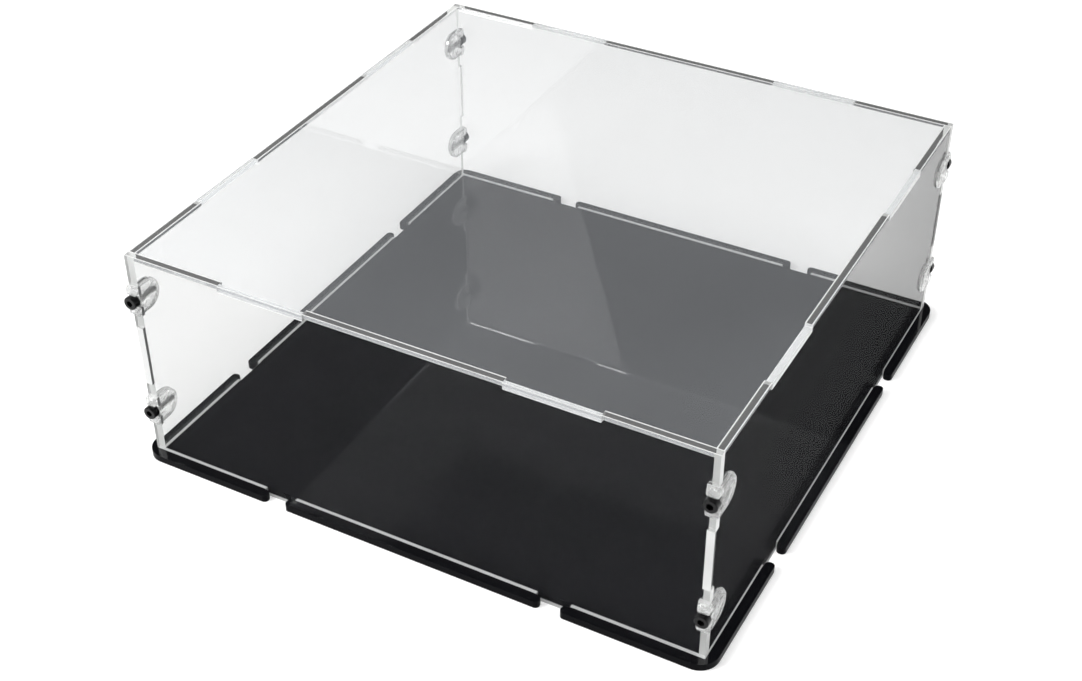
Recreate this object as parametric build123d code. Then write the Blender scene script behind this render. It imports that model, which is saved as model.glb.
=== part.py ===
from build123d import *
import os

os.makedirs("parts", exist_ok=True)

# Driving sizes, in millimetres
cover_width = 240.0
cover_depth = 240.0
panel = 3.0
inside_height = 90.0
base_sheet = 3.0
base_margin = 4.0
base_corner_radius = 8.0

# Tabs of the top panel, which reach out through notches in the walls' top edges
top_tab_length = 37.0
top_tab_centre = 59.0

# Joints along the upright corners: the side walls' middle reaches through between these two levels
corner_tab_from_foot = 33.0
corner_tab_from_top = 30.0

# Locating tabs under each wall and the slots that take them
foot_tab_length = 14.0
foot_tab_centre = 60.0
foot_tab_lift = 0.2
slot_mouth = 8.6
prong_rounding = 0.45

# Clear connectors in the upright corners
connector_sheet = 5.0
connector_height = 13.0
connector_proud = 1.5
connector_prong_radius = 1.5
connector_edge_chamfer = 0.5
connector_beyond_screw = 1.5
connector_from_foot = 20.0
connector_from_top = 17.0

# Cap screws
screw_radius = 1.5
screw_length = 12.0
head_radius = 2.75
head_length = 3.0
head_chamfer = 0.3
socket_across_flats = 2.5
socket_depth = 1.6

# Clearances
joint_clearance = 0.05
slot_clearance = 0.2
pocket_clearance = 0.15
head_clearance = 0.25
screw_hole_clearance = 0.15
thread_clearance = 0.1
point_clearance = 0.3

# Length by which cuts run past an edge and added tabs run into their wall
overrun = 1.0

# Sizes and positions that follow from the ones above
half_width = cover_width / 2
half_depth = cover_depth / 2
wall_foot = base_sheet
wall_top = base_sheet + inside_height
foot_tab_drop = base_sheet - foot_tab_lift
prong_radius = prong_rounding * (base_margin - slot_clearance)
corner_tab_bottom = corner_tab_from_foot
corner_tab_top = inside_height - corner_tab_from_top
connector_levels = (connector_from_foot, inside_height - connector_from_top)
connector_reach = screw_length + connector_beyond_screw
connector_gap = 2 * (head_radius + head_clearance)
screw_hole_radius = screw_radius + screw_hole_clearance
thread_hole_radius = screw_radius + thread_clearance


def box_2d(x0, x1, y0, y1):
    """Rectangle face between two corners."""
    return Pos((x0 + x1) / 2, (y0 + y1) / 2) * Rectangle(x1 - x0, y1 - y0)


def both_sides(make, *args):
    """The same flat shape on the left and the right of the middle."""
    shape = make(*args)
    return shape + mirror(shape, about=Plane.YZ)


# Flat outline of a connector: u runs inwards from the wall's outer face, v is the height from the screw
def connector_outline(grow=0.0):
    half = connector_height / 2 + grow
    nose = connector_reach - connector_height / 2
    body = box_2d(-connector_proud - grow, nose, -half, half) + Pos(nose, 0) * Circle(half)
    if grow == 0.0:
        front = body.vertices().sort_by(Axis.X)[0:2]
        body = fillet(front, connector_prong_radius)
    return body


# Base plate with mouths that open the slots to the outside
def base_side_cut(length):
    edge = length / 2 + base_margin
    wide = foot_tab_length / 2 + slot_clearance
    inner = length / 2 - panel - slot_clearance
    outer = length / 2 + slot_clearance
    mouth = slot_mouth / 2
    return box_2d(-wide, wide, inner, outer) + box_2d(-mouth, mouth, inner, edge + overrun)


def make_base():
    outline = RectangleRounded(
        cover_width + 2 * base_margin, cover_depth + 2 * base_margin, base_corner_radius
    )
    mouths = []
    for length, turns in ((cover_depth, (0, 180)), (cover_width, (90, 270))):
        cut = base_side_cut(length)
        for turn in turns:
            for centre in (-foot_tab_centre, foot_tab_centre):
                outline -= Rot(0, 0, turn) * Pos(centre, 0) * cut
                mouths.append((turn, centre, length))
    plate = extrude(outline, base_sheet)
    upright = plate.edges().filter_by(Axis.Z)
    outer_ends = []
    inner_ends = []
    for turn, centre, length in mouths:
        for side in (-1, 1):
            across = centre + side * slot_mouth / 2
            for extra, group in ((base_margin, outer_ends), (slot_clearance, inner_ends)):
                spot = (Rot(0, 0, turn) * Pos(across, length / 2 + extra, base_sheet / 2)).position
                group.append(upright.sort_by_distance(spot)[0])
    plate = fillet(outer_ends, prong_radius)
    upright = plate.edges().filter_by(Axis.Z)
    inner_ends = [upright.sort_by_distance(edge.center())[0] for edge in inner_ends]
    return fillet(inner_ends, prong_radius)


# Flat outline shared by all four walls, x along the wall and y up from the wall's foot
def wall_outline(half_length):
    top = inside_height + panel
    face = box_2d(-half_length, half_length, 0, top)
    half_notch = top_tab_length / 2 + joint_clearance
    for centre in (-top_tab_centre, top_tab_centre):
        face -= box_2d(centre - half_notch, centre + half_notch, inside_height, top + overrun)
    for centre in (-foot_tab_centre, foot_tab_centre):
        half_tab = foot_tab_length / 2
        face += box_2d(centre - half_tab, centre + half_tab, -foot_tab_drop, overrun)
    return face


def end_cut_for_side_wall():
    low = corner_tab_bottom - joint_clearance
    high = corner_tab_top + joint_clearance
    return box_2d(half_width - panel - joint_clearance, half_width + overrun, low, high)


def end_cut_for_connector(level):
    inner = half_width - panel / 2 - connector_sheet / 2 - pocket_clearance
    half_outer = connector_height / 2 + pocket_clearance
    half_inner = connector_gap / 2 - pocket_clearance
    outer = half_width + overrun
    screw_x = half_width - panel / 2
    cut = box_2d(inner, outer, level - half_outer, level - half_inner)
    cut += box_2d(inner, outer, level + half_inner, level + half_outer)
    cut += Pos(screw_x, level) * Circle(screw_hole_radius)
    cut += box_2d(screw_x, outer, level - screw_hole_radius, level + screw_hole_radius)
    return cut


# Front and back walls: they run the full width and cover the side walls' ends
def make_front_wall():
    face = wall_outline(half_width)
    face -= both_sides(end_cut_for_side_wall)
    for level in connector_levels:
        face -= both_sides(end_cut_for_connector, level)
    plane = Plane(origin=(0, -half_depth + panel, wall_foot), x_dir=(1, 0, 0), z_dir=(0, -1, 0))
    return extrude(plane * face, panel)


# Side walls: they stand between the front and back walls and reach through at mid height
def make_right_wall():
    half_length = half_depth - panel
    face = wall_outline(half_length)
    face += both_sides(box_2d, half_length - overrun, half_depth, corner_tab_bottom, corner_tab_top)
    for level in connector_levels:
        pocket = Pos(half_depth, level) * mirror(connector_outline(pocket_clearance), about=Plane.YZ)
        face -= pocket + mirror(pocket, about=Plane.YZ)
    plane = Plane(origin=(half_width - panel, 0, wall_foot), x_dir=(0, 1, 0), z_dir=(1, 0, 0))
    return extrude(plane * face, panel)


# Top panel: it lies between the walls and on the floors of their notches, flush with their top edges
def make_top_panel():
    inset = panel + joint_clearance
    half_tab = top_tab_length / 2
    face = Rectangle(cover_width - 2 * inset, cover_depth - 2 * inset)
    for length, turns in ((cover_depth, (0, 180)), (cover_width, (90, 270))):
        tab = box_2d(-half_tab, half_tab, length / 2 - inset - overrun, length / 2)
        for turn in turns:
            for centre in (-top_tab_centre, top_tab_centre):
                face += Rot(0, 0, turn) * Pos(centre, 0) * tab
    return extrude(Pos(0, 0, wall_top) * face, panel)


# The screws' seat on the front wall's outer face, looking along the screw into the case
def screw_plane(level):
    return Plane(origin=(half_width - panel / 2, -half_depth, wall_foot + level), z_dir=(0, 1, 0))


# One connector at the front right corner: two prongs pass through the front wall beside the screw
def make_connector(level):
    face = connector_outline()
    face -= box_2d(-connector_proud - overrun, panel, -connector_gap / 2, connector_gap / 2)
    left = half_width - panel / 2 - connector_sheet / 2
    plane = Plane(origin=(left, -half_depth, wall_foot + level), x_dir=(0, 1, 0), z_dir=(1, 0, 0))
    block = extrude(plane * face, connector_sheet)
    rims = block.edges().group_by(Axis.X)
    block = chamfer(list(rims[0]) + list(rims[-1]), connector_edge_chamfer)
    hole_end = screw_length + point_clearance
    hole = Pos(0, 0, hole_end / 2) * Cylinder(thread_hole_radius, hole_end)
    return block - screw_plane(level) * hole


# One cap screw at the front right corner, its head against the wall's outer face
def make_screw(level):
    shank = Pos(0, 0, screw_length / 2) * Cylinder(screw_radius, screw_length)
    head = Pos(0, 0, -head_length / 2) * Cylinder(head_radius, head_length)
    head = chamfer(head.edges().sort_by(Axis.Z)[0], head_chamfer)
    socket = extrude(RegularPolygon(socket_across_flats / 2, 6, major_radius=False), socket_depth)
    head -= Pos(0, 0, -head_length) * socket
    return screw_plane(level) * (shank + head)


def save(shape, name):
    shape.label = name
    export_step(shape, f"parts/{name}.step")


front_wall = make_front_wall()
right_wall = make_right_wall()

save(make_base(), "base_plate")
save(make_top_panel(), "top_panel")
save(front_wall, "front_wall")
save(mirror(front_wall, about=Plane.XZ), "back_wall")
save(right_wall, "right_wall")
save(mirror(right_wall, about=Plane.YZ), "left_wall")

for level, level_name in zip(connector_levels, ("lower", "upper")):
    for make, kind in ((make_connector, "connector"), (make_screw, "screw")):
        front_right = make(level)
        front_left = mirror(front_right, about=Plane.YZ)
        save(front_right, f"{kind}_front_right_{level_name}")
        save(front_left, f"{kind}_front_left_{level_name}")
        save(mirror(front_right, about=Plane.XZ), f"{kind}_back_right_{level_name}")
        save(mirror(front_left, about=Plane.XZ), f"{kind}_back_left_{level_name}")
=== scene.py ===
import math

import bpy
from mathutils import Matrix, Vector


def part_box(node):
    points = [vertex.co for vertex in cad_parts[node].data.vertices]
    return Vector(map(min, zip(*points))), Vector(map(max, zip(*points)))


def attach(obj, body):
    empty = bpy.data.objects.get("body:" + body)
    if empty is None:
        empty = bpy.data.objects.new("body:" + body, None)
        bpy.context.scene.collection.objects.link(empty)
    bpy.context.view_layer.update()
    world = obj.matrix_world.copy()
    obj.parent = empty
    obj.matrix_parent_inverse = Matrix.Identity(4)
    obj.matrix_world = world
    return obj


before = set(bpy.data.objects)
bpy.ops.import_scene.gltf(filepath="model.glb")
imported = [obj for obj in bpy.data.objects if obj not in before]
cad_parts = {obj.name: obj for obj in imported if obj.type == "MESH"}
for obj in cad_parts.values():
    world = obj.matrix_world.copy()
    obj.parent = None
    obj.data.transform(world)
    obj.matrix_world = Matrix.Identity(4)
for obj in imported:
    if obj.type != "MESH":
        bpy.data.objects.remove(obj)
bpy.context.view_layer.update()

# Camera, fitted to the case in the photograph: pixels, degrees and metres
FRAME_WIDTH = 1082
FOCAL_PIXELS = 1699.2
SENSOR_WIDTH = 36.0
CLIP_START = 0.01
CAMERA_AZIMUTH = -28.468
CAMERA_ELEVATION = 36.745
CAMERA_ROLL = -0.094
CAMERA_DISTANCE = 0.6901
CAMERA_TARGET = (0.00062, -0.0192, 0.033)

# Sheet thickness, outer size of the cover and its foot tabs, in metres
PANEL = 0.003
COVER = 0.240
FOOT_TAB_CENTRE = 0.060
FOOT_TAB_LENGTH = 0.014

# A side faces along an axis where its normal has more than this share of it
FACING = 0.5

# Polished faces of the clear sheets
CLEAR_TINT = (0.969, 0.970, 0.969)
CLEAR_IOR = 1.49
OUTSIDE_GLOSS = 0.03
INSIDE_GLOSS = 1.0
FACE_WEAR_SCALE = 60.0
FACE_ROUGHNESS = (0.0, 0.004)
WALL_HAZE = 0.006
TOP_HAZE = 0.06
HAZE_COLOUR = (0.86, 0.89, 0.93)
HAZE_SCALE = 14.0
HAZE_UNEVENNESS = (0.85, 1.15)
LAMP_PASS = (0.95, 0.95, 0.95)

# Cut edges of the clear sheets, with a painted glow: their pale colour stands in for the light that the sheets
# carry to their edges
EDGE_PAINTED_GLOW_COLOUR = (0.88, 0.885, 0.88)
EDGE_DULL_TONE = 0.72
EDGE_PATCH_SCALE = 45.0
EDGE_PATCH_SPREAD = (0.2, 1.4)
EDGE_CLEARNESS = 0.1
EDGE_ROUGHNESS = (0.08, 0.3)
CUT_LINE_SCALE = 900.0
CUT_LINE_STRETCH = 0.05
CUT_LINE_STRENGTH = 0.3
CUT_LINE_DEPTH = 0.0002
# Painted highlight along both rims of a cut edge: where it starts and where it is full, as shares of half the
# sheet's thickness
RIM_HIGHLIGHT_START = 0.62
RIM_HIGHLIGHT_FULL = 0.8
# Share of painted glow in the middle of a cut edge and on the upright notch ends; the rest is clear glass
CORE_PAINTED_GLOW = 0.18
NOTCH_END_PAINTED_GLOW = 0.5
UPPER_PART_FROM = 0.06

# Painted glow strips under the walls: height over the base and distance from the wall's faces, in metres
STRIP_LIFT = 0.00005
STRIP_INSET = 0.0001

# Clear connectors
CONNECTOR_TINT = (0.97, 0.975, 0.97)
CONNECTOR_CLEARNESS = 0.82
CONNECTOR_THINNESS = 0.3
CONNECTOR_WEAR_SCALE = 120.0
CONNECTOR_ROUGHNESS = (0.02, 0.08)
RIPPLE_SCALE = 400.0
RIPPLE_STRENGTH = 1.0
RIPPLE_DEPTH = 0.0008

# Black base sheet: polished faces and duller cut edges
BLACK_SHEET = (0.002, 0.002, 0.0028)
BLACK_SHEET_PALER = 1.5
BLACK_PATCH_SCALE = 25.0
BLACK_WEAR_SCALE = 90.0
BASE_IOR = 1.8
BASE_ROUGHNESS = (0.002, 0.008)
BASE_EDGE_IOR = 1.12
BASE_EDGE_ROUGHNESS = (0.2, 0.35)

# Black screws
BLACK_STEEL = (0.007, 0.007, 0.0075)
STEEL_METALLIC = 0.6
STEEL_GRAIN_SCALE = 1500.0
STEEL_ROUGHNESS = (0.22, 0.38)
STEEL_GRAIN_STRENGTH = 0.15
STEEL_GRAIN_DEPTH = 0.0001

# Floor, in metres, and the part of its light that shows it white to the camera
FLOOR_HALF_WIDTH = 6.0
FLOOR_COLOUR = (0.85, 0.85, 0.85)
FLOOR_DIMMER = 0.98
FLOOR_PATCH_SCALE = 3.0
FLOOR_ROUGHNESS = 0.9
FLOOR_LIFT = 0.3
FAR_FLOOR_LIFT = 0.9
FAR_FLOOR_START = 0.7
FAR_FLOOR_FULL = 1.8

# Studio light: the world is bright near the horizon and dim above it, in degrees
HORIZON_LIGHT = 1.0
SKY_LIGHT = 0.025
HORIZON_TOP = 12
SKY_START = 24
KEY_ACROSS = (0.777, -0.587, -0.225)
KEY_UPRIGHT = (0.416, 0.213, 0.883)

# Bounces that a ray needs to pass all the sheets
MOST_BOUNCES = 24
MIRROR_BOUNCES = 12


def new_material(name):
    material = bpy.data.materials.new(name)
    material.use_nodes = True
    nodes = material.node_tree.nodes
    nodes.clear()
    return material, nodes, material.node_tree.links


def finish_material(nodes, links, shader):
    out = nodes.new("ShaderNodeOutputMaterial")
    links.new(shader, out.inputs["Surface"])


def object_place(nodes):
    """The object's own coordinates, which are metres in the shared frame at rest."""
    return nodes.new("ShaderNodeTexCoord").outputs["Object"]


def noise(nodes, links, scale):
    """Smooth noise over the object's own coordinates."""
    texture = nodes.new("ShaderNodeTexNoise")
    texture.inputs["Scale"].default_value = scale
    links.new(object_place(nodes), texture.inputs["Vector"])
    return texture.outputs["Fac"]


def spread(nodes, links, source, low, high):
    """The source's 0 to 1 range moved to low to high."""
    ramp = nodes.new("ShaderNodeMapRange")
    ramp.inputs["To Min"].default_value = low
    ramp.inputs["To Max"].default_value = high
    links.new(source, ramp.inputs["Value"])
    return ramp.outputs["Result"]


def smooth_step(nodes, links, source, start, full, low=0.0, high=1.0):
    """A soft change from low at start to high at full."""
    ramp = nodes.new("ShaderNodeMapRange")
    ramp.interpolation_type = "SMOOTHSTEP"
    ramp.inputs["From Min"].default_value = start
    ramp.inputs["From Max"].default_value = full
    ramp.inputs["To Min"].default_value = low
    ramp.inputs["To Max"].default_value = high
    links.new(source, ramp.inputs["Value"])
    return ramp.outputs["Result"]


def bump(nodes, links, height, strength, distance):
    node = nodes.new("ShaderNodeBump")
    node.inputs["Strength"].default_value = strength
    node.inputs["Distance"].default_value = distance
    links.new(height, node.inputs["Height"])
    return node.outputs["Normal"]


def math_node(nodes, links, operation, *values):
    """A math node; each value is a number or an output."""
    node = nodes.new("ShaderNodeMath")
    node.operation = operation
    for value, socket in zip(values, node.inputs):
        if isinstance(value, (int, float)):
            socket.default_value = value
        else:
            links.new(value, socket)
    return node.outputs["Value"]


def parts_of(nodes, links, vector):
    """The three parts of a vector."""
    split = nodes.new("ShaderNodeSeparateXYZ")
    links.new(vector, split.inputs["Vector"])
    return split.outputs


def faces_along(nodes, links, normal, axis):
    """1 on the sides that face one way or the other along the axis."""
    size = math_node(nodes, links, "ABSOLUTE", normal[axis])
    return math_node(nodes, links, "GREATER_THAN", size, FACING)


def two_tones(nodes, links, amount, first, second):
    """A colour between two tones."""
    tone = nodes.new("ShaderNodeMix")
    tone.data_type = "RGBA"
    colours = [socket for socket in tone.inputs if socket.type == "RGBA"]
    for socket, colour in zip(colours, (first, second)):
        socket.default_value = (*colour, 1)
    links.new(amount, tone.inputs["Factor"])
    return next(socket for socket in tone.outputs if socket.type == "RGBA")


def times(colour, factor):
    return tuple(factor * part for part in colour)


def mix_shaders(nodes, links, amount, first, second):
    """The first shader at amount 0, the second at amount 1; the amount is a number or an output."""
    mix = nodes.new("ShaderNodeMixShader")
    if isinstance(amount, (int, float)):
        mix.inputs["Fac"].default_value = amount
    else:
        links.new(amount, mix.inputs["Fac"])
    links.new(first, mix.inputs[1])
    links.new(second, mix.inputs[2])
    return mix.outputs["Shader"]


def transparent(nodes, colour):
    through = nodes.new("ShaderNodeBsdfTransparent")
    through.inputs["Color"].default_value = (*colour, 1)
    return through.outputs["BSDF"]


def lamps_pass(nodes, links, shader):
    """The shader, but clear to light from lamps, so that it throws hardly any shadow."""
    path = nodes.new("ShaderNodeLightPath")
    return mix_shaders(nodes, links, path.outputs["Is Shadow Ray"], shader, transparent(nodes, LAMP_PASS))


def glass_shader(nodes, links, axis, haze):
    """Polished clear acrylic with a little haze; the walls' outer faces mirror less than their inner ones."""
    through = nodes.new("ShaderNodeBsdfRefraction")
    through.inputs["Color"].default_value = (*CLEAR_TINT, 1)
    through.inputs["IOR"].default_value = CLEAR_IOR
    wear = spread(nodes, links, noise(nodes, links, FACE_WEAR_SCALE), *FACE_ROUGHNESS)
    links.new(wear, through.inputs["Roughness"])
    mirror = nodes.new("ShaderNodeBsdfAnisotropic")
    links.new(wear, mirror.inputs["Roughness"])
    if axis == 2:
        mirror.inputs["Color"].default_value = (INSIDE_GLOSS, INSIDE_GLOSS, INSIDE_GLOSS, 1)
    else:
        geometry = nodes.new("ShaderNodeNewGeometry")
        side = parts_of(nodes, links, object_place(nodes))[axis]
        facing = parts_of(nodes, links, geometry.outputs["True Normal"])[axis]
        product = math_node(nodes, links, "MULTIPLY", side, facing)
        outward = math_node(nodes, links, "GREATER_THAN", product, 0.0)
        links.new(spread(nodes, links, outward, INSIDE_GLOSS, OUTSIDE_GLOSS), mirror.inputs["Color"])
    fresnel = nodes.new("ShaderNodeFresnel")
    fresnel.inputs["IOR"].default_value = CLEAR_IOR
    clear = mix_shaders(nodes, links, fresnel.outputs["Fac"], through.outputs["BSDF"], mirror.outputs["BSDF"])
    dust = nodes.new("ShaderNodeBsdfDiffuse")
    dust.inputs["Color"].default_value = (*HAZE_COLOUR, 1)
    amount = spread(nodes, links, noise(nodes, links, HAZE_SCALE), *times(HAZE_UNEVENNESS, haze))
    return mix_shaders(nodes, links, amount, clear, dust.outputs["BSDF"])


def painted_glow_edge_shader(nodes, links, axis):
    """Laser-cut edge with a painted glow: a pale colour that stands in for the light the sheet carries to its
    edges; glossy, with fine cut lines that run across the sheet.
    """
    shader = nodes.new("ShaderNodeBsdfPrincipled")
    shader.inputs["IOR"].default_value = CLEAR_IOR
    shader.inputs["Transmission Weight"].default_value = EDGE_CLEARNESS
    stretch = [1.0, 1.0, 1.0]
    stretch[axis] = CUT_LINE_STRETCH
    squeeze = nodes.new("ShaderNodeMapping")
    squeeze.inputs["Scale"].default_value = stretch
    links.new(object_place(nodes), squeeze.inputs["Vector"])
    cut_lines = nodes.new("ShaderNodeTexNoise")
    cut_lines.inputs["Scale"].default_value = CUT_LINE_SCALE
    links.new(squeeze.outputs["Vector"], cut_lines.inputs["Vector"])
    lines = cut_lines.outputs["Fac"]
    patches = spread(nodes, links, noise(nodes, links, EDGE_PATCH_SCALE), *EDGE_PATCH_SPREAD)
    # painted glow: the pale edge colour, in random duller patches, stands in for light carried along the sheet
    tone = two_tones(nodes, links, patches, times(EDGE_PAINTED_GLOW_COLOUR, EDGE_DULL_TONE), EDGE_PAINTED_GLOW_COLOUR)
    links.new(tone, shader.inputs["Base Color"])
    links.new(spread(nodes, links, lines, *EDGE_ROUGHNESS), shader.inputs["Roughness"])
    links.new(bump(nodes, links, lines, CUT_LINE_STRENGTH, CUT_LINE_DEPTH), shader.inputs["Normal"])
    return shader.outputs["BSDF"]


def rim_highlight_mask(nodes, links, axis, middle):
    """1 along both rims of a sheet's cut edge, where a painted highlight stands in for the lit arrises, 0
    between them; middle is the sheet's place along the axis.
    """
    across = parts_of(nodes, links, object_place(nodes))[axis]
    distance = math_node(nodes, links, "ABSOLUTE", across)
    from_middle = math_node(nodes, links, "SUBTRACT", distance, middle)
    share = math_node(nodes, links, "DIVIDE", math_node(nodes, links, "ABSOLUTE", from_middle), PANEL / 2)
    return smooth_step(nodes, links, share, RIM_HIGHLIGHT_START, RIM_HIGHLIGHT_FULL)


def upper_level_edges(nodes, links, normal):
    """1 on the level cut edges in the upper part of a wall, such as its top and the floors of its notches;
    only these keep the rim highlights and clearer middle, the wall's other cut edges are painted glow over
    their whole width.
    """
    height = parts_of(nodes, links, object_place(nodes))[2]
    high = math_node(nodes, links, "GREATER_THAN", height, UPPER_PART_FROM)
    return math_node(nodes, links, "MULTIPLY", high, faces_along(nodes, links, normal, 2))


def notch_ends(nodes, links, normal):
    """1 on the upright ends of the cuts in a front or back wall, which are half clear and half painted glow.
    """
    along = math_node(nodes, links, "ABSOLUTE", parts_of(nodes, links, object_place(nodes))[0])
    inside = math_node(nodes, links, "LESS_THAN", along, (COVER - PANEL) / 2)
    return math_node(nodes, links, "MULTIPLY", inside, faces_along(nodes, links, normal, 0))


def painted_joint_glow(nodes, links):
    """1 where a side wall's end stands against the inner face of a front or back wall; there that face takes
    the pale edge shader, a painted glow for the side wall's end.
    """
    spot = parts_of(nodes, links, object_place(nodes))
    along = math_node(nodes, links, "ABSOLUTE", spot[0])
    across = math_node(nodes, links, "ABSOLUTE", spot[1])
    at_end = math_node(nodes, links, "GREATER_THAN", along, COVER / 2 - PANEL)
    inner = math_node(nodes, links, "LESS_THAN", across, (COVER - PANEL) / 2)
    return math_node(nodes, links, "MULTIPLY", at_end, inner)


def clear_sheet(name, axis, haze):
    """Clear acrylic sheet whose faces look along one axis; every other side is a cut edge."""
    material, nodes, links = new_material(name)
    face = glass_shader(nodes, links, axis, haze)
    edge = painted_glow_edge_shader(nodes, links, axis)
    geometry = nodes.new("ShaderNodeNewGeometry")
    normal = parts_of(nodes, links, geometry.outputs["True Normal"])
    middle = (COVER - PANEL) / 2
    if axis == 2:
        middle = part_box("top_panel")[1][2] - PANEL / 2
    # painted glow: the middle of each cut edge is clear glass with a share of the pale edge shader
    core = mix_shaders(nodes, links, CORE_PAINTED_GLOW, face, edge)
    # painted highlight: both rims of each cut edge take the pale edge shader
    side = mix_shaders(nodes, links, rim_highlight_mask(nodes, links, axis, middle), core, edge)
    if axis != 2:
        # painted glow: a wall's cut edges are wholly pale, except the level ones high up, which keep the rim
        # highlights and clearer middle
        side = mix_shaders(nodes, links, upper_level_edges(nodes, links, normal), edge, side)
    if axis == 1:
        # painted glow: the notch ends are half clear glass, half the pale edge shader
        clearer = mix_shaders(nodes, links, NOTCH_END_PAINTED_GLOW, face, edge)
        side = mix_shaders(nodes, links, notch_ends(nodes, links, normal), side, clearer)
        # painted glow: the inner face behind each side wall's end is pale
        face = mix_shaders(nodes, links, painted_joint_glow(nodes, links), face, edge)
    whole = mix_shaders(nodes, links, faces_along(nodes, links, normal, axis), side, face)
    finish_material(nodes, links, lamps_pass(nodes, links, whole))
    return material


def clear_connector():
    """Clear block with rippled faces that break the light up."""
    material, nodes, links = new_material("clear_connector")
    shader = nodes.new("ShaderNodeBsdfPrincipled")
    shader.inputs["Base Color"].default_value = (*CONNECTOR_TINT, 1)
    shader.inputs["IOR"].default_value = CLEAR_IOR
    shader.inputs["Transmission Weight"].default_value = CONNECTOR_CLEARNESS
    wear = spread(nodes, links, noise(nodes, links, CONNECTOR_WEAR_SCALE), *CONNECTOR_ROUGHNESS)
    links.new(wear, shader.inputs["Roughness"])
    ripples = bump(nodes, links, noise(nodes, links, RIPPLE_SCALE), RIPPLE_STRENGTH, RIPPLE_DEPTH)
    links.new(ripples, shader.inputs["Normal"])
    straight = transparent(nodes, CONNECTOR_TINT)
    whole = mix_shaders(nodes, links, CONNECTOR_THINNESS, shader.outputs["BSDF"], straight)
    finish_material(nodes, links, lamps_pass(nodes, links, whole))
    return material


def black_acrylic():
    """Polished black sheet with a duller cut edge."""
    material, nodes, links = new_material("black_acrylic")
    patches = noise(nodes, links, BLACK_PATCH_SCALE)
    tone = two_tones(nodes, links, patches, BLACK_SHEET, times(BLACK_SHEET, BLACK_SHEET_PALER))
    shaders = []
    for ior, roughness in ((BASE_EDGE_IOR, BASE_EDGE_ROUGHNESS), (BASE_IOR, BASE_ROUGHNESS)):
        shader = nodes.new("ShaderNodeBsdfPrincipled")
        shader.inputs["IOR"].default_value = ior
        links.new(tone, shader.inputs["Base Color"])
        wear = spread(nodes, links, noise(nodes, links, BLACK_WEAR_SCALE), *roughness)
        links.new(wear, shader.inputs["Roughness"])
        shaders.append(shader.outputs["BSDF"])
    geometry = nodes.new("ShaderNodeNewGeometry")
    normal = parts_of(nodes, links, geometry.outputs["True Normal"])
    finish_material(nodes, links, mix_shaders(nodes, links, faces_along(nodes, links, normal, 2), *shaders))
    return material


def black_steel():
    """Black oxide screws with a fine grain."""
    material, nodes, links = new_material("black_oxide_steel")
    shader = nodes.new("ShaderNodeBsdfPrincipled")
    shader.inputs["Base Color"].default_value = (*BLACK_STEEL, 1)
    shader.inputs["Metallic"].default_value = STEEL_METALLIC
    grain = noise(nodes, links, STEEL_GRAIN_SCALE)
    links.new(spread(nodes, links, grain, *STEEL_ROUGHNESS), shader.inputs["Roughness"])
    links.new(bump(nodes, links, grain, STEEL_GRAIN_STRENGTH, STEEL_GRAIN_DEPTH), shader.inputs["Normal"])
    finish_material(nodes, links, shader.outputs["BSDF"])
    return material


def dress(material, names):
    for name in names:
        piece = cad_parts[name]
        piece.data.materials.clear()
        piece.data.materials.append(material)


names = sorted(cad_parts)
dress(black_acrylic(), ["base_plate"])
dress(clear_sheet("clear_sheet_x", 0, WALL_HAZE), ["left_wall", "right_wall"])
dress(clear_sheet("clear_sheet_y", 1, WALL_HAZE), ["front_wall", "back_wall"])
dress(clear_sheet("clear_sheet_z", 2, TOP_HAZE), ["top_panel"])
dress(clear_connector(), [n for n in names if n.startswith("connector")])
dress(black_steel(), [n for n in names if n.startswith("screw")])


def painted_foot_glow():
    """Pale strips under each wall between the foot tabs: a painted glow that shows the cut edge under the
    wall, seen through the sheet, as a bright line.
    """
    material, nodes, links = new_material("painted_glow_cut_edge")
    finish_material(nodes, links, painted_glow_edge_shader(nodes, links, 2))
    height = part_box("base_plate")[1][2] + STRIP_LIFT
    inner = COVER / 2 - PANEL + STRIP_INSET
    outer = COVER / 2 - STRIP_INSET
    near = FOOT_TAB_CENTRE - FOOT_TAB_LENGTH / 2
    far = FOOT_TAB_CENTRE + FOOT_TAB_LENGTH / 2
    walls = (("front", 0, COVER / 2), ("right", 90, inner), ("back", 180, COVER / 2), ("left", 270, inner))
    for name, turn, half in walls:
        end = half - STRIP_INSET
        corners = []
        faces = []
        for x0, x1 in ((-end, -far), (-near, near), (far, end)):
            faces.append(tuple(range(len(corners), len(corners) + 4)))
            corners += [(x0, -outer, height), (x1, -outer, height), (x1, -inner, height), (x0, -inner, height)]
        mesh = bpy.data.meshes.new(f"foot_edge_{name}")
        mesh.from_pydata(corners, [], faces)
        mesh.transform(Matrix.Rotation(math.radians(turn), 4, "Z"))
        mesh.materials.append(material)
        strip = bpy.data.objects.new(f"foot_edge_{name}", mesh)
        bpy.context.scene.collection.objects.link(strip)
        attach(strip, "cover")


# painted glow: pale strips under the walls
painted_foot_glow()


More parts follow.
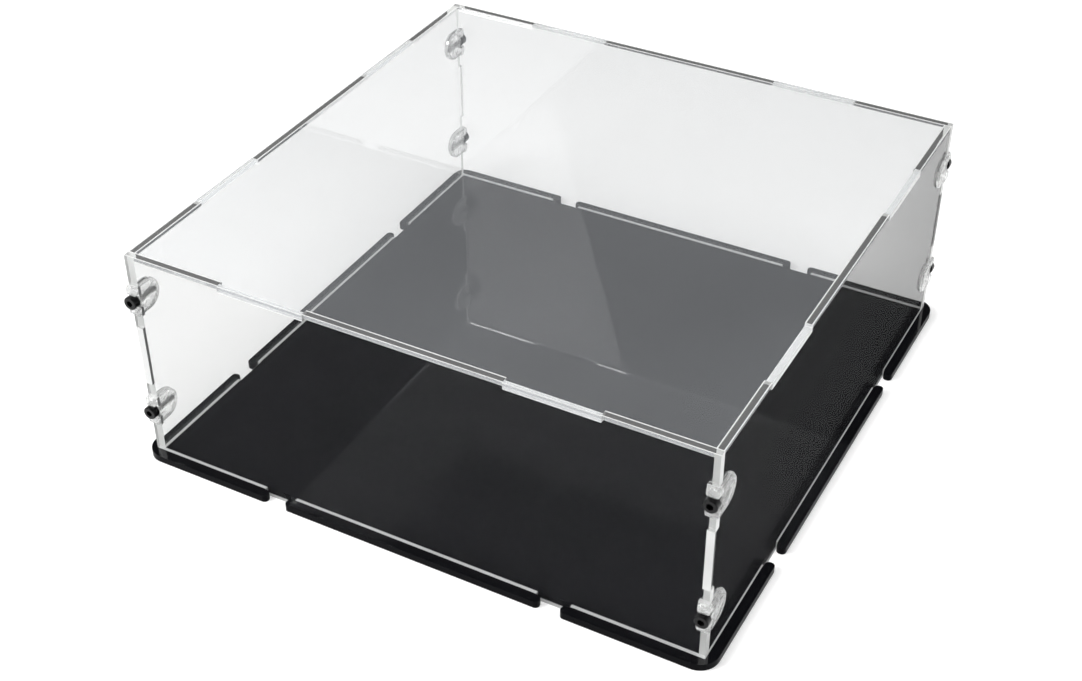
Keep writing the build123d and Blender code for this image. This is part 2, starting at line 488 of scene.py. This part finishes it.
def floor_material():
    """Pale floor that shows white to the camera and keeps the case's shadow."""
    material, nodes, links = new_material("pale_floor")
    base = nodes.new("ShaderNodeBsdfPrincipled")
    base.inputs["Roughness"].default_value = FLOOR_ROUGHNESS
    patches = noise(nodes, links, FLOOR_PATCH_SCALE)
    tone = two_tones(nodes, links, patches, FLOOR_COLOUR, times(FLOOR_COLOUR, FLOOR_DIMMER))
    links.new(tone, base.inputs["Base Color"])
    path = nodes.new("ShaderNodeLightPath")
    seen = math_node(
        nodes, links, "MAXIMUM", path.outputs["Is Camera Ray"], path.outputs["Is Transmission Ray"],
    )
    seen_or_mirrored = math_node(nodes, links, "MAXIMUM", seen, path.outputs["Is Glossy Ray"])
    distance = nodes.new("ShaderNodeVectorMath")
    distance.operation = "LENGTH"
    links.new(object_place(nodes), distance.inputs[0])
    lift = smooth_step(
        nodes, links, distance.outputs["Value"],
        FAR_FLOOR_START, FAR_FLOOR_FULL, low=FLOOR_LIFT, high=FAR_FLOOR_LIFT,
    )
    glow = nodes.new("ShaderNodeEmission")
    links.new(math_node(nodes, links, "MULTIPLY", seen_or_mirrored, lift), glow.inputs["Strength"])
    add = nodes.new("ShaderNodeAddShader")
    links.new(base.outputs["BSDF"], add.inputs[0])
    links.new(glow.outputs["Emission"], add.inputs[1])
    finish_material(nodes, links, add.outputs["Shader"])
    return material


def make_floor():
    half = FLOOR_HALF_WIDTH
    mesh = bpy.data.meshes.new("floor")
    corners = [(-half, -half, 0), (half, -half, 0), (half, half, 0), (-half, half, 0)]
    mesh.from_pydata(corners, [], [(0, 1, 2, 3)])
    floor = bpy.data.objects.new("floor", mesh)
    bpy.context.scene.collection.objects.link(floor)
    mesh.materials.append(floor_material())


def make_world():
    """Even pale studio light, with less of it high up where the sheets would mirror it."""
    world = bpy.data.worlds.new("studio")
    bpy.context.scene.world = world
    world.use_nodes = True
    nodes = world.node_tree.nodes
    links = world.node_tree.links
    nodes.clear()
    place = nodes.new("ShaderNodeTexCoord")
    rise = parts_of(nodes, links, place.outputs["Generated"])[2]
    start = math.sin(math.radians(HORIZON_TOP))
    full = math.sin(math.radians(SKY_START))
    strength = smooth_step(nodes, links, rise, start, full, low=HORIZON_LIGHT, high=SKY_LIGHT)
    lit = nodes.new("ShaderNodeBackground")
    lit.inputs["Color"].default_value = (1, 1, 1, 1)
    links.new(strength, lit.inputs["Strength"])
    out = nodes.new("ShaderNodeOutputWorld")
    links.new(lit.outputs["Background"], out.inputs["Surface"])


def area_light(name, centre, across, upright, size, radiance, mirrored):
    """Softbox with given side directions, which shines along upright x across; some aren't mirrored."""
    light = bpy.data.lights.new(name, "AREA")
    light.shape = "RECTANGLE"
    light.size = size[0]
    light.size_y = size[1]
    light.energy = radiance * math.pi * size[0] * size[1]
    x = Vector(across).normalized()
    z = x.cross(Vector(upright)).normalized()
    y = z.cross(x)
    lamp = bpy.data.objects.new(name, light)
    lamp.matrix_world = Matrix.Translation(centre) @ Matrix((x, y, z)).transposed().to_4x4()
    lamp.visible_glossy = mirrored
    lamp.visible_transmission = mirrored
    bpy.context.scene.collection.objects.link(lamp)


def make_lights():
    """Large softboxes for even light, and an accent whose image shows as a paler wedge in the base."""
    area_light(
        "key_light", centre=(-0.664, -0.619, 0.787), across=KEY_ACROSS, upright=KEY_UPRIGHT,
        size=(0.5, 0.6), radiance=7.5, mirrored=False,
    )
    area_light(
        "accent_light", centre=(-0.594, -0.672, 0.767), across=KEY_ACROSS, upright=KEY_UPRIGHT,
        size=(0.32, 0.46), radiance=6.5, mirrored=True,
    )
    area_light(
        "overhead_light", centre=(0, 0, 1.6), across=(1, 0, 0), upright=(0, 1, 0),
        size=(1.2, 1.2), radiance=4.0, mirrored=False,
    )
    area_light(
        "fill_light", centre=(1.1, -0.25, 0.6), across=(0.2, 1, 0), upright=(-0.45, 0.1, 0.85),
        size=(0.6, 0.6), radiance=3.0, mirrored=True,
    )


def make_camera():
    azimuth = math.radians(CAMERA_AZIMUTH)
    elevation = math.radians(CAMERA_ELEVATION)
    roll = math.radians(CAMERA_ROLL)
    back = Vector((
        -math.sin(azimuth) * math.cos(elevation),
        -math.cos(azimuth) * math.cos(elevation),
        math.sin(elevation),
    ))
    level = Vector((0, 0, 1)).cross(back).normalized()
    upright = back.cross(level)
    right = math.cos(roll) * level + math.sin(roll) * upright
    up = back.cross(right)
    data = bpy.data.cameras.new("camera")
    data.sensor_width = SENSOR_WIDTH
    data.lens = FOCAL_PIXELS * SENSOR_WIDTH / FRAME_WIDTH
    data.clip_start = CLIP_START
    camera = bpy.data.objects.new("camera", data)
    turn = Matrix((right, up, back)).transposed().to_4x4()
    camera.matrix_world = Matrix.Translation(Vector(CAMERA_TARGET) + CAMERA_DISTANCE * back) @ turn
    bpy.context.scene.collection.objects.link(camera)
    bpy.context.scene.camera = camera


make_floor()
make_world()
make_lights()
make_camera()

scene = bpy.context.scene
scene.view_settings.view_transform = "Standard"
scene.cycles.max_bounces = MOST_BOUNCES
scene.cycles.transmission_bounces = MOST_BOUNCES
scene.cycles.glossy_bounces = MIRROR_BOUNCES
scene.cycles.transparent_max_bounces = MOST_BOUNCES
